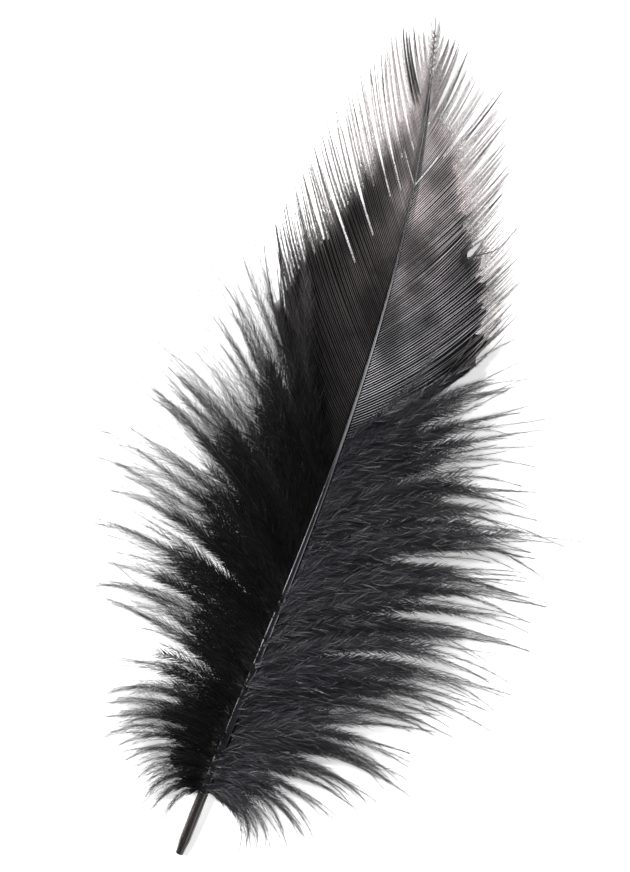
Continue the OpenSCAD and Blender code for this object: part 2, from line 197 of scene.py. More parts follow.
class FeatherColours(bpy.types.PropertyGroup):
    vane_left: colour("Left vane", "Dyed keratin of the left vane", (0.0195, 0.0175, 0.0175))
    vane_right: colour("Right vane", "Dyed keratin of the right vane", (0.0185, 0.018, 0.019))
    vane_pale: colour("Vane fringe", "Thin ends of the vane's barbs", (0.22, 0.195, 0.195))
    # Painted light and shade: the right down's colour is the lit copy and the left down's the darker,
    # shaded copy of the same down
    down_left: colour("Left down", "Down on the left of the shaft", (0.006, 0.0056, 0.006))
    down_right: colour("Right down", "Down on the right of the shaft", (0.0125, 0.012, 0.0155))
    down_pale: colour("Down ends", "Thin ends of the down's barbs", (0.05, 0.045, 0.047))
    rachis: colour("Rachis", "Dyed keratin of the rachis", (0.006, 0.006, 0.0085))
    # Painted highlight: the colour of the light lines along the ridges and the top of the rachis
    rachis_highlight: colour("Worn rachis", "Middle of the rachis, with less dye", (0.30, 0.30, 0.325))
    calamus: colour("Calamus", "Dyed keratin of the calamus", (0.008, 0.0055, 0.0055))
    calamus_brown: colour("Calamus streaks", "Streaks of brown in the calamus", (0.03, 0.018, 0.014))
    pith: colour("Pith", "Dry foam inside the rachis", (0.5, 0.46, 0.38))
    floor: colour("Floor", "Plain pale floor", (0.92, 0.92, 0.92))


# ---------------- shaders

class Wire:
    """A number that changes over a surface. Arithmetic on it adds Math nodes."""

    def __init__(self, finish, socket):
        self.finish, self.socket = finish, socket

    def math(self, operation, *values):
        return self.finish.node("ShaderNodeMath", {"operation": operation}, dict(enumerate(values)))

    def __add__(self, other):
        return self.math("ADD", self, other)

    def __radd__(self, other):
        return self.math("ADD", other, self)

    def __sub__(self, other):
        return self.math("SUBTRACT", self, other)

    def __rsub__(self, other):
        return self.math("SUBTRACT", other, self)

    def __mul__(self, other):
        return self.math("MULTIPLY", self, other)

    def __rmul__(self, other):
        return self.math("MULTIPLY", other, self)


class Finish:
    """A material that is built node by node."""

    def __init__(self, name):
        self.material = bpy.data.materials.new(name)
        self.material.use_nodes = True
        self.tree = self.material.node_tree
        self.tree.nodes.clear()

    def node(self, kind, settings=None, inputs=None, output=0):
        """Adds a node, makes its settings, then fills its sockets, and returns one output."""
        made = self.tree.nodes.new(kind)
        for key, value in (settings or {}).items():
            setattr(made, key, value)
        for key, value in (inputs or {}).items():
            socket = made.inputs[key]
            if isinstance(value, Wire):
                self.tree.links.new(value.socket, socket)
            elif hasattr(value, "__len__"):
                socket.default_value = (*value, 1) if socket.type == "RGBA" and len(value) == 3 else value
            else:
                socket.default_value = value
        return Wire(self, made.outputs[output])

    def mix(self, share, low, high, blend="MIX"):
        """A colour between two colours."""
        return self.node("ShaderNodeMix", {"data_type": "RGBA", "blend_type": blend},
                         {0: share, 6: low, 7: high}, output=2)

    def ease(self, value, low, high):
        """0 below low, 1 above high, and a smooth step between."""
        return self.node("ShaderNodeMapRange", {"interpolation_type": "SMOOTHSTEP"},
                         {0: value, 1: low, 2: high, 3: 0.0, 4: 1.0})

    def noise(self, where, scale, detail=2.0):
        return self.node("ShaderNodeTexNoise", {}, {"Vector": where, "Scale": scale, "Detail": detail})

    def stretched(self, scale):
        """Places on the object, stretched by a scale on each axis."""
        place = self.node("ShaderNodeTexCoord", output=3)
        return self.node("ShaderNodeVectorMath", {"operation": "MULTIPLY"}, {0: place, 1: scale})

    def bump(self, height, strength, distance):
        values = {"Height": height, "Strength": strength, "Distance": distance}
        return self.node("ShaderNodeBump", {}, values)

    def surface(self, **sockets):
        """The closing shader. A socket's name has _ for a space."""
        inputs = {key.replace("_", " "): value for key, value in sockets.items()}
        shader = self.node("ShaderNodeBsdfPrincipled", {}, inputs)
        end = self.tree.nodes.new("ShaderNodeOutputMaterial")
        self.tree.links.new(shader.socket, end.inputs["Surface"])
        return self.material

    def split_map(self, title):
        """The two values of a map, as wires."""
        place = self.node("ShaderNodeUVMap", {"uv_map": title})
        first = self.node("ShaderNodeSeparateXYZ", {}, {0: place})
        return first, Wire(self, first.socket.node.outputs[1])


def strand_finish(name, dark, pale, rough, stem_highlight, stem_dark, valley_shade, gloss):
    """Dyed keratin of barbs: each barb has its own shade, and thin parts are paler.

    The map named Strand holds the share along the barb, and the barb's number plus the fraction that
    tells stems, sheets and barbules apart. The map named Fade holds how pale the place is and a factor on
    its colour as a whole, which is painted light and random tone on the vane and random tone on the down.
    The stem highlight factor paints a highlight on the stems, stem_dark keeps them from turning pale, and
    the factor for painted shade darkens what lies between them.
    """
    f = Finish(name)
    code = f.split_map("Strand")[1]
    fade, lit = f.split_map("Fade")
    barb = code.math("FLOOR", code)
    part = code - barb
    stem = 1.0 - code.math("GREATER_THAN", part, STEM_MARK)
    sheet = code.math("LESS_THAN", part, SHEET_MARK) - stem
    out = f.ease(part, SHEET_MARK, 1.0)
    shade = f.node("ShaderNodeTexWhiteNoise", {"noise_dimensions": "1D"}, {"W": barb})
    where = f.stretched((1.0, 1.0, 1.0))
    patch = f.noise(where, 150.0, 3.0)
    fine = f.noise(where, 3500.0, 2.0)
    base = f.mix(fade * (1.0 - stem_dark * stem), dark, pale)
    # The lit mark scales the colour: painted light and random tone on the vane, random tone on the down
    tone = lit * (0.55 + 0.35 * shade + 0.5 * patch + 0.35 * out + 0.5 * (fine - 0.5))
    # Painted highlight: the stems are made lighter, in patches, and less so in the pale fringe
    tone = tone * (1.0 + stem_highlight * stem * (0.3 + 1.5 * f.ease(patch, 0.35, 0.65)) * (1.0 - 0.7 * fade))
    # Painted shade: the webs and barbules between the stems of the closed core are made darker
    tone = tone * (1.0 - valley_shade * (1.0 - stem) * (1.0 - fade))
    grey = f.node("ShaderNodeCombineColor", {}, {0: tone, 1: tone, 2: tone})
    return f.surface(
        Base_Color=f.mix(1.0, base, grey, "MULTIPLY"),
        Roughness=rough + 0.2 * (fine - 0.5) + 0.1 * (shade - 0.5) + 0.15 * sheet,
        Coat_Weight=0.5 * stem * (1.0 - fade), Coat_Roughness=0.3,
        Alpha=1.0 - sheet * f.ease(fade, 0.1, 0.8),
        Specular_IOR_Level=gloss, Normal=f.bump(fine, 0.2, 0.00002))


def rachis_finish(colours):
    """Dyed keratin along the rachis, dark at both ends and in the groove, with painted highlights: light
    lines on the ridges beside the groove low down, and one along its top higher up.
    """
    f = Finish("rachis_keratin")
    place, around = f.split_map("Strand")
    furrows = f.noise(f.stretched((9000.0, 250.0, 9000.0)), 1.0, 3.0)
    patches = f.noise(f.stretched((1.0, 1.0, 1.0)), 300.0, 2.0)
    beads = f.noise(f.stretched((300.0, 2600.0, 300.0)), 1.0, 1.0)
    off_top = around.math("ABSOLUTE", around - 0.26)
    ridges = f.ease(off_top, 0.07, 0.09) * (1.0 - f.ease(off_top, 0.11, 0.14))
    upper = f.ease(place, 0.40, 0.47)
    line = (1.0 - f.ease(off_top, 0.05, 0.1)) * upper
    # The pale mask places the painted highlights: on the ridges beside the groove low down, along the top
    # higher up, with none near either end
    pale = f.ease(place, 0.10, 0.22) * (1.0 - 0.35 * f.ease(place, 0.30, 0.45))
    pale = pale * (1.0 - f.ease(place, 0.62, 0.72)) * (0.8 + 0.6 * (patches - 0.5))
    pale = pale * (ridges * (1.0 - upper) + line)
    base = f.mix(pale, colours.rachis, colours.rachis_highlight)
    soot = 0.3 * furrows + 0.6 * f.ease(beads, 0.5, 0.6) * f.ease(place, 0.7, 0.76)
    base = f.mix(soot, base, (0.006, 0.006, 0.007))
    return f.surface(
        Base_Color=base, Roughness=0.22 + 0.25 * (furrows - 0.5) + 0.1 * (patches - 0.5),
        Specular_IOR_Level=0.3, Coat_Weight=0.12, Coat_Roughness=0.1,
        Normal=f.bump(furrows, 0.5, 0.00004))


def calamus_finish(colours):
    """Glossy, nearly black keratin with brown streaks and fine growth rings."""
    f = Finish("calamus_keratin")
    streaks = f.noise(f.stretched((5000.0, 350.0, 5000.0)), 1.0, 4.0)
    rings = f.noise(f.stretched((200.0, 3500.0, 200.0)), 1.0, 2.0)
    specks = f.noise(f.stretched((1.0, 1.0, 1.0)), 1500.0, 3.0)
    base = f.mix(f.ease(streaks, 0.48, 0.75), colours.calamus, colours.calamus_brown)
    base = f.mix(f.ease(specks, 0.66, 0.74), base, (0.006, 0.005, 0.005))
    return f.surface(
        Base_Color=base, Roughness=0.18 + 0.2 * (streaks - 0.4) + 0.12 * (specks - 0.5),
        Specular_IOR_Level=0.35, Coat_Weight=0.8, Coat_Roughness=0.06,
        Normal=f.bump(streaks + 0.6 * rings + 0.4 * specks, 0.35, 0.00004))


def pith_finish(name, shade, dark, scale):
    """Dry pith or membrane: small closed cells."""
    f = Finish(name)
    cells = f.node("ShaderNodeTexVoronoi", {}, {"Vector": f.stretched((1.0, 1.0, 1.0)), "Scale": scale})
    patches = f.noise(f.stretched((1.0, 1.0, 1.0)), scale / 6, 3.0)
    base = f.mix(f.ease(cells, 0.15, 0.75), shade, dark)
    base = f.mix(0.5 * patches, base, dark)
    return f.surface(Base_Color=base, Roughness=0.7 + 0.2 * (patches - 0.5),
                     Normal=f.bump(1.0 - cells, 0.6, 0.00005))


# ---------------- the shaft's line and the barbs' lines

class Shaft:
    """The middle line and the width of the shaft, measured on the CAD rachis."""

    def __init__(self, feather):
        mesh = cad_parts["rachis_cortex"].data
        corners = np.array([v.co for v in mesh.vertices])
        a, b = np.moveaxis(corners[np.array([e.vertices[:] for e in mesh.edges])], 1, 0)
        low, high = corners[:, 1].min(), corners[:, 1].max()
        rows = []
        for y in np.linspace(low, high, 62)[1:-1]:
            crossing = (a[:, 1] - y) * (b[:, 1] - y) < 0
            p, q = a[crossing], b[crossing]
            cut = p + (q - p) * ((y - p[:, 1]) / (q[:, 1] - p[:, 1]))[:, None]
            least, most = cut.min(0), cut.max(0)
            rows.append((y, (least[0] + most[0]) / 2, (least[2] + most[2]) / 2, most[0] - least[0]))
        y, x, z, width = np.array(rows).T
        self.feather, self.start = feather, high - feather
        share = (y - self.start) / feather
        self.x = np.polynomial.Polynomial.fit(share, x, 3)
        self.z = np.polynomial.Polynomial.fit(share, z, 3)
        self.widths = share, width

    def point(self, share):
        return np.stack([self.x(share), self.start + self.feather * share, self.z(share)], -1)

    def heading(self, share):
        return np.arctan2(self.x.deriv()(share), self.feather)

    def width(self, share):
        return np.interp(share, *self.widths)


def unit(vectors):
    return vectors / np.maximum(np.linalg.norm(vectors, axis=-1, keepdims=True), 1e-12)


def ramp(value, low, high):
    t = np.clip((value - low) / (high - low), 0, 1)
    return t * t * (3 - 2 * t)


def barb_values(side, share):
    rows = np.array(BARB_ROWS[side])
    return [np.interp(share, rows[:, 0], rows[:, i]) for i in (1, 2, 3)]


class Barbs:
    """The middle lines of the barbs on one side of the shaft: lines[i] runs along barb i.

    cling is where each root sits: near 0.5 at the shaft's edge, lower on top of the shaft. trim holds
    the shares of a barb beyond which its barbules shrink, on its side towards the calamus and on its
    side towards the tip.
    """

    def __init__(self, shaft, side, share, size, angle, curl, droop, points, waver=None, cling=0.48):
        self.side, self.share, self.size = side, share, size * MM
        self.trim = np.full((len(share), 2), 2.0)
        self.along = np.linspace(0, 1, points)
        heading = shaft.heading(share)[:, None]
        turn = heading + side * np.radians(angle[:, None] - curl[:, None] * self.along)
        if waver is not None:
            turn = turn + np.radians(waver)
        self.turn = turn
        middle = (turn[:, 1:] + turn[:, :-1]) / 2
        step = self.size[:, None] / (points - 1)
        zero = np.zeros((len(share), 1))
        x = np.hstack([zero, np.cumsum(np.sin(middle) * step, 1)])
        y = np.hstack([zero, np.cumsum(np.cos(middle) * step, 1)])
        out = side * (x * np.cos(heading) - y * np.sin(heading))
        root = shaft.point(share)
        width = shaft.width(share)[:, None]
        cling = np.reshape(cling, (-1, 1))
        edge = side * cling * width
        over = (cling < 0.4) * 0.48 * width * (1 - ramp(self.along, 0.02, 0.12))
        self.lines = np.stack([
            root[:, :1] + edge * np.cos(heading) + x,
            root[:, 1:2] - edge * np.sin(heading) + y,
            root[:, 2:] - math.sin(math.radians(droop)) * out + over,
        ], -1)

    def shift(self, across, up=None):
        """Moves every point by a distance across its barb, towards the tip, and up."""
        self.lines[..., 0] -= self.side * np.cos(self.turn) * across
        self.lines[..., 1] += self.side * np.sin(self.turn) * across
        if up is not None:
            self.lines[..., 2] += up

    def settle(self, floor):
        self.lines[..., 2] = np.maximum(self.lines[..., 2], floor)

    def gather(self, low, high, hold):
        """Draws the barbs between two shares towards their common middle line."""
        inside = (self.share > low) & (self.share < high)
        middle = self.lines[inside].mean(0)
        self.lines[inside] += (middle - self.lines[inside]) * hold[None, :, None]
        return inside


def part_vane(barbs, splits):
    """Opens the splits of a vane: the barbs of each lock draw together towards their ends."""
    places = np.array([s[0] for s in splits])
    below = np.clip(np.searchsorted(places, barbs.share, "right") - 1, 0, len(splits) - 2)
    low, high = np.array(splits)[below], np.array(splits)[below + 1]
    t = np.clip((barbs.share - low[:, 0]) / (high[:, 0] - low[:, 0]), 0, 1)[:, None]

    def opening(rows):
        past = (barbs.along - rows[:, 1:2]) / (1 - rows[:, 1:2])
        return rows[:, 2:] * MM / 2 * np.clip(past, 0, 1) ** 0.9

    barbs.shift(opening(low) * (1 - t) ** 1.5 - opening(high) * t ** 1.5)
    return below


# ---------------- strand meshes

def marks_of(shape, *values):
    """The four marks of each point: its share along its barb, its barb's number plus a fraction for
    its place on it, how pale it is, and how far it is lit up."""
    return np.stack([np.broadcast_to(value, shape) for value in values], -1)


class Strands:
    """Collects the triangles of a piece, with the marks of its points."""

    def __init__(self):
        self.points, self.faces, self.marks, self.smooth, self.count = [], [], [], [], 0

    def add(self, points, faces, marks, smooth=True):
        self.points.append(points.reshape(-1, 3))
        self.faces.append(faces.reshape(-1, 3) + self.count)
        self.marks.append(marks.reshape(-1, 4))
        self.smooth.append(np.full(len(self.faces[-1]), smooth))
        self.count += len(self.points[-1])

    def stems(self, barbs, pick, span, radius, tall=1.3):
        """Tapered three-sided stems along the picked barbs, closed at both ends."""
        lines = barbs.lines[pick][:, span]
        n, k = lines.shape[:2]
        sides = 3
        tangent = unit(np.gradient(lines, axis=1))
        across = unit(np.cross(tangent, [0.0, 0.0, 1.0]))
        up = np.cross(across, tangent)
        turn = math.pi / 2 + 2 * math.pi * np.arange(sides) / sides
        ring = np.cos(turn)[:, None] * across[:, :, None] + tall * np.sin(turn)[:, None] * up[:, :, None]
        points = lines[:, :, None] + radius[:, span][:, :, None, None] * ring
        marks = marks_of((n, k, sides), barbs.along[span][:, None],
                         barbs.number[pick][:, None, None] + 0.02 + 0.08 * np.arange(sides) / sides,
                         barbs.pale[pick][:, span, None], barbs.lit[pick][:, span, None])
        base = (np.arange(n)[:, None, None] * k + np.arange(k - 1)[:, None]) * sides
        j, j2 = np.arange(sides), (np.arange(sides) + 1) % sides
        quads = np.stack([base + j, base + j2, base + sides + j2, base + sides + j], -1).reshape(-1, 4)
        ends = np.arange(n) * k * sides
        last = ends + (k - 1) * sides
        faces = [quads[:, [0, 1, 2]], quads[:, [0, 2, 3]],
                 np.stack([ends, ends + 2, ends + 1], -1), np.stack([last, last + 1, last + 2], -1)]
        self.add(points, np.vstack(faces), marks)

    def web(self, barbs, pick, after, reach, sag):
        """Thin sheets between neighbouring barbs, from their roots out to a share of their length."""
        low, high, along = barbs.lines[pick], barbs.lines[after], barbs.along
        n, k = low.shape[:2]
        columns = np.stack([low, (low + high) / 2, high], 2)
        columns[..., 2] -= sag * np.array([-0.4, 0.7, 1.0])
        marks = marks_of((n, k, 3), along[:, None],
                         barbs.number[pick][:, None, None] + 0.13 + 0.07 * np.arange(3),
                         barbs.pale[pick][..., None], barbs.lit[pick][..., None])
        inside = along[None, 1:] <= reach[:, None]
        base = ((np.arange(n)[:, None] * k + np.arange(k - 1))[inside] * 3)[:, None] + np.arange(2)
        a, b, c, d = base, base + 1, base + 4, base + 3
        self.add(columns, np.concatenate([np.stack([a, b, c], -1), np.stack([a, c, d], -1)]), marks)

    def barbules(self, rng, barbs, pick, start, end, gap, size, lean, width, roll=30, bend=0.3,
                 ruffle=0.12, spin=35, sink=0.0, mat=False):
        """Bent blades on both sides of the picked barbs, between two shares of their length. size is a
        function of the share along the barb, and so are lean and width, or each is a number."""
        start, end = (np.broadcast_to(np.asarray(v, float), (len(pick),)) for v in (start, end))
        counts = np.maximum(barbs.size[pick] * (end - start) * 2 / gap, 0).astype(int)
        if not counts.sum():
            return
        owner = np.repeat(np.arange(len(counts)), counts)
        order = np.arange(len(owner)) - np.repeat(np.cumsum(counts) - counts, counts)
        w = start[owner] + (end - start)[owner] * (order + rng.random(len(owner))) / counts[owner]
        k = len(barbs.along)
        cell = np.minimum((w * (k - 1)).astype(int), k - 2)
        part = (w * (k - 1) - cell)[:, None]
        lines = barbs.lines[pick]
        p, q = lines[owner, cell], lines[owner, cell + 1]
        root, along = p + (q - p) * part, unit(q - p)
        tipward = order % 2
        across = unit(np.cross(along, [0.0, 0.0, 1.0]))
        across *= np.where(tipward, -barbs.side, barbs.side)[:, None]
        up = np.cross(across, along)
        up *= np.sign(up[:, 2:])

        def scatter(degrees):
            return np.radians(degrees * rng.normal(0, 1, len(w)))[:, None]

        def value(rule):
            return rule(w) if callable(rule) else np.full(len(w), rule, float)

        tilt, turn = np.clip(scatter(roll), -1.3, 1.1), scatter(spin)
        angle = np.radians(value(lean))[:, None] + scatter(6)
        aim = np.cos(angle) * along + np.sin(angle) * (np.cos(tilt) * across + np.sin(tilt) * up)
        reach = (size(w) * np.exp(rng.normal(0, 0.18, len(w))))[:, None]
        past = w - barbs.trim[pick][owner, tipward]
        reach *= np.interp(past, [0, 0.3], [1.0, 0.2])[:, None]
        first = unit(np.cross(aim, up))
        face = (np.cos(turn) * first + np.sin(turn) * np.cross(first, aim)) * (value(width) / 2)[:, None]
        middle = root + aim * reach * 0.5
        tip = middle + unit(aim + bend * along + ruffle * rng.normal(0, 1, aim.shape)) * reach * 0.5
        points = np.stack([root - face, root + face, middle - 0.8 * face, middle + 0.8 * face, tip], 1)
        points[..., 2] = np.maximum(points[..., 2] - sink, 0.00003)
        rise = np.array([0.12, 0.12, 0.2, 0.2, 0.28] if mat else [0.32, 0.32, 0.64, 0.64, 0.98])

        def here(values):
            low, high = values[pick][owner, cell][:, None], values[pick][owner, cell + 1][:, None]
            return low * (1 - part) + high * part

        marks = marks_of((len(w), 5), w[:, None] + np.array([-0.004, 0.004, -0.003, 0.003, 0.0]),
                         barbs.number[pick][owner][:, None] + rise, here(barbs.pale), here(barbs.lit))
        faces = (np.arange(len(w)) * 5)[:, None, None] + np.array([[0, 1, 3], [0, 3, 2], [2, 3, 4]])
        self.add(points, faces, marks, smooth=False)

    def build(self, name, material):
        points, faces = np.vstack(self.points), np.vstack(self.faces)
        marks, smooth = np.vstack(self.marks), np.concatenate(self.smooth)
        mesh = bpy.data.meshes.new(name)
        mesh.vertices.add(len(points))
        mesh.vertices.foreach_set("co", points.astype(np.float32).ravel())
        mesh.loops.add(faces.size)
        mesh.loops.foreach_set("vertex_index", faces.astype(np.int32).ravel())
        mesh.polygons.add(len(faces))
        mesh.polygons.foreach_set("loop_start", np.arange(0, faces.size, 3, dtype=np.int32))
        mesh.update(calc_edges=True)
        mesh.polygons.foreach_set("use_smooth", smooth)
        first = math.floor(marks[:, 1].min())
        count = math.floor(marks[:, 1].max()) - first + 1
        spread = np.stack([0.01 + 0.98 * np.clip(marks[:, 0], 0, 1), (marks[:, 1] - first) / count], -1)
        for title, values in (("OFBake", spread), ("Strand", marks[:, :2]), ("Fade", marks[:, 2:])):
            layer = mesh.uv_layers.new(name=title)
            layer.data.foreach_set("uv", values[faces.ravel()].astype(np.float32).ravel())
        mesh.validate()
        made = bpy.data.objects.new(name, mesh)
        bpy.context.scene.collection.objects.link(made)
        mesh.materials.append(material)
        return made


def place(piece, body, slot, *nodes):
    """Hands a finished piece to its body, and hides the CAD nodes that it stands for."""
    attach(piece, body)
    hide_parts(*nodes)
    return piece


# ---------------- vane

def vane_barbs(shaft, sizes, side):
    """All barbs of one side's closed vane, with its splits and its stuck lock."""
    rng = np.random.default_rng(11 + side)
    count = int((0.997 - VANE_START[side]) * sizes.feather / sizes.vane_pitch)
    share = np.linspace(VANE_START[side] + 0.001, 0.997, count)
    share = share[(share < 0.93) | (np.arange(count) % 2 == 0) & (share < 0.98)]
    count = len(share)
    size, angle, curl = barb_values(side, share)
    size = size * (1.02 + 0.015 * rng.normal(0, 1, count) + 0.025 * np.sin(share * 190 + side))
    if side == RIGHT:
        size = size * np.interp(share, [0.50, 0.52, 0.60, 0.66], [1.0, 1.09, 1.07, 1.0])
    angle = angle + rng.normal(0, 0.2, count)
    curl = curl + rng.normal(0, 0.6, count)
    loose = 1 - ramp(share, VANE_START[side] + 0.005, VANE_START[side] + 0.05)
    size = size * (1 + 0.06 * loose * rng.normal(0, 1, count))
    curl = curl + loose * rng.normal(0, 5, count)
    points = 44
    along = np.linspace(0, 1, points)
    waver = 1.6 * np.sin(6 * along[None, :] + share[:, None] * 60) * along[None, :]
    barbs = Barbs(shaft, side, share, size, angle, curl, 7, points, waver)
    barbs.lock = part_vane(barbs, SPLITS[side])
    opens = np.array(SPLITS[side])[:, 1]
    parted = np.diff(barbs.lock) > 0
    barbs.trim[1:][parted, 0] = opens[barbs.lock[1:][parted]]
    barbs.trim[:-1][parted, 1] = opens[barbs.lock[1:][parted]]
    lift = np.random.default_rng(5 + side).normal(0, 0.25, len(SPLITS[side]))[barbs.lock]
    rise = lift[:, None] * ramp(along, 0.5, 1)[None, :] + rng.normal(0, 0.05, (count, 1)) * along
    barbs.shift(0, rise * MM)
    barbs.web_end = np.interp(share, *CORE_ENDS[side]) + rng.normal(0, 0.01, count)
    barbs.web_wander = 1 - 0.07 * rng.random(count)
    barbs.number = np.arange(count)
    own = np.interp(share, [0.62, 0.75, 0.85, 0.92, 1.0], [0.0, 0.12, 0.26, 0.3, 0.3])[:, None]
    end = barbs.web_end[:, None]
    barbs.pale = np.clip(own + (1 - own) * ramp(along, end - 0.18, end + 0.06), 0, 1)
    # Painted light: the vane's colour is made lighter or darker along the shaft, differently on each
    # side, with a little random tone per barb
    lit = np.interp(share, *VANE_LIT[side])[:, None] * (1 + 0.1 * rng.normal(0, 1, (count, 1)))
    barbs.lit = lit + 0 * along
    barbs.stuck, barbs.web_limit = np.zeros((count, points)), np.full(count, 2.0)
    for low, high, start in BUNDLES[side]:
        middle = (low + high) / 2
        kinked = side == RIGHT and KINKED_LOCK[0] < middle < KINKED_LOCK[1]
        close = ramp(along, start, start + 0.14)
        spread = 0.5 * ramp(along, 0.88, 1.0) if kinked else 0.1 * close
        inside = barbs.gather(low, high, 0.88 * close - spread)
        barbs.stuck[inside] = close * (1.0 if TWISTED_LOCK[0] < middle < TWISTED_LOCK[1] else 0.4)
        barbs.web_limit[inside] = start
        barbs.pale[inside] *= 1 - close
        barbs.lit[inside] *= 1 - 0.7 * close
        if kinked:
            gap = (share - middle) / 0.012
            close_up = -0.45 * np.sign(gap) * np.exp(-gap ** 2) * ~inside
            barbs.shift(MM * close_up[:, None] * close)
            away = (-2.3 * MM * ramp(along, 0.6, 0.84))[None] * inside[:, None]
            barbs.shift(away, 0.25 * MM * inside[:, None] * close)
    barbs.settle(0.00012)
    return barbs


def grow_vane(strands, sizes, barbs, pick, rng, start=0.0, end=1.0, stuck=False):
    """Stems and barbules of the picked barbs, between two shares of their length.

    The barbules lie flat and wide apart over the webs of the core, close together along its edge, and
    loose in the fringe. In a stuck lock the bundled barbs carry short ones that lie along them.
    """
    along = barbs.along
    span = slice(int(round(start * (len(along) - 1))), int(round(end * (len(along) - 1))) + 1)
    thick = sizes.stem * (1 - 0.88 * along ** 1.5)
    fine = np.interp(barbs.share, [0.5, 0.8, 0.92, 1.0], [1.0, 0.85, 0.55, 0.35])[:, None]
    fine = fine * (1 - 0.45 * barbs.pale)
    fine = fine * (1 - np.interp(barbs.share, [0.7, 0.85], [0, 0.7])[:, None] * (along < 0.05))
    glued = 0.0002 * barbs.stuck ** 2 * (1 - along ** 3)
    strands.stems(barbs, pick, span, (thick * fine + glued)[pick], tall=0.9)
    slender = np.interp(barbs.share[pick].mean(), [0.5, 0.85, 1.0], [1.0, 0.9, 0.7])

    def size(w):
        return sizes.barbule * slender * (1 - 0.3 * w)

    if stuck:
        bound = pick[barbs.stuck[pick].max(1) > 0]
        strands.barbules(rng, barbs, bound, start, 0.97 * end, 0.8 * sizes.barbule_gap,
                         lambda w: 0.7 * size(w), lambda w: 18 - 10 * w, 0.00007,
                         roll=40, bend=0.1)
        pick = pick[barbs.stuck[pick].max(1) == 0]
    edge = barbs.web_end[pick] - 0.2 * np.interp(barbs.share[pick], [0.88, 0.93], [1, 2])
    core = np.clip(edge, start, end)
    strands.barbules(rng, barbs, pick, start, core, 2 * sizes.barbule_gap, size, lambda w: 42 - 10 * w,
                     0.00006, roll=4, spin=8, bend=0.15, ruffle=0.05, sink=0.00004)
    reach = np.clip(barbs.web_end[pick] - 0.02, core, end)
    strands.barbules(rng, barbs, pick, core, reach, 0.5 * sizes.barbule_gap, size, lambda w: 42 - 10 * w,
                     0.00005, roll=4, spin=8, bend=0.15, ruffle=0.05, sink=0.00004)
    sparse = np.interp(barbs.share[pick].mean(), [0.6, 0.85, 0.93, 1.0], [0.6, 0.7, 1.2, 1.6])
    strands.barbules(rng, barbs, pick, reach, 0.985 * end, sizes.barbule_gap * sparse,
                     lambda w: size(w) * np.interp(w, [0, 0.8, 1], [1.3, 1.2, 0.25]),
                     lambda w: 34 - 18 * w, 0.00004, roll=16, spin=20, bend=0.2)


def web_vane(strands, barbs, pick):
    """Webs from each picked barb to the next barb towards the tip."""
    pick = pick[pick + 1 < len(barbs.share)]
    after = pick + 1
    splits = np.array(SPLITS[barbs.side])
    reach = barbs.web_end[pick] * barbs.web_wander[pick] * np.interp(barbs.share[pick], *WEB_SHARE)
    parted = barbs.lock[pick] != barbs.lock[after]
    reach = np.where(parted, np.minimum(reach, splits[barbs.lock[after], 1] + 0.04), reach)
    reach = np.minimum(reach, np.minimum(barbs.web_limit[pick], barbs.web_limit[after]))
    strands.web(barbs, pick, after, reach, 0.00006)


# ---------------- down

def down_barbs(shaft, sizes, side):
    """All free barbs of one side's down and base tuft."""
    rng = np.random.default_rng(31 + side)
    count = int((VANE_START[side] - TUFT_START) * sizes.feather / sizes.down_pitch)
    thicker = [TUFT_START + 0.08 * rng.random(34) ** 1.2]
    if side == LEFT:
        thicker.append(0.33 + 0.12 * rng.random(22))
    share = np.sort(np.concatenate([np.linspace(TUFT_START, VANE_START[side] - 0.001, count), *thicker]))
    count = len(share)
    size, angle, curl = barb_values(side, share)
    points = 34
    along = np.linspace(0, 1, points)
    bunch = np.cumsum(rng.random(count) < 0.4)
    own = rng.normal(0, 1, (4, bunch.max() + 1))[:, bunch]
    size = size * (0.98 + 0.06 * own[0] + 0.07 * rng.normal(0, 1, count))
    size = size * np.interp(share, [0.1, 0.2], [1.12, 1.0])
    if side == RIGHT:
        size = size * np.interp(share, [0.14, 0.2, 0.28, 0.34], [1.0, 1.07, 1.07, 1.0])
    angle = angle + 1.5 * own[1] + rng.normal(0, 2.5, count)
    angle -= ramp(share, 0.37, 0.47) * (rng.random(count) * 11 + 2)
    phase = rng.random((2, count, 1)) * 6.3
    stray = (7 * own[2] + rng.normal(0, 7, count))[:, None]
    sway = -side * stray * along ** 2 + 5 * np.sin(5 * along + phase[0]) * along
    sway = sway + 4 * np.sin(13 * along + phase[1]) * along ** 1.5
    cling = np.where((share < 0.33) & (rng.random(count) < 0.35), 0.35 - 0.6 * rng.random(count), 0.48)
    tuft = 1 - ramp(share, 0.08, 0.115)
    fan, hook = (22, 35) if side == LEFT else (12, 15)
    angle = angle + fan * tuft * rng.random(count)
    curl = curl - hook * tuft * rng.random(count)
    barbs = Barbs(shaft, side, share, size, angle, curl, 4, points, sway, cling)
    lift = np.clip(0.9 + 0.7 * own[3] + 0.8 * rng.normal(0, 1, count), -0.6, 2.8)
    lift = (lift + 1.2 * ramp(share, 0.42, 0.47))[:, None] * MM
    barbs.shift(0, lift * np.sin(np.clip(along * 1.25, 0, 1) * math.pi * 0.85)[None, :])
    barbs.settle(0.00025)
    barbs.number = np.arange(count)
    barbs.pale = np.ones((count, 1)) * ramp(along, 0.4, 1.0)
    barbs.lit = 1 + 0.15 * rng.normal(0, 1, (count, 1)) + 0.2 * own[0][:, None] + 0 * along
    return barbs


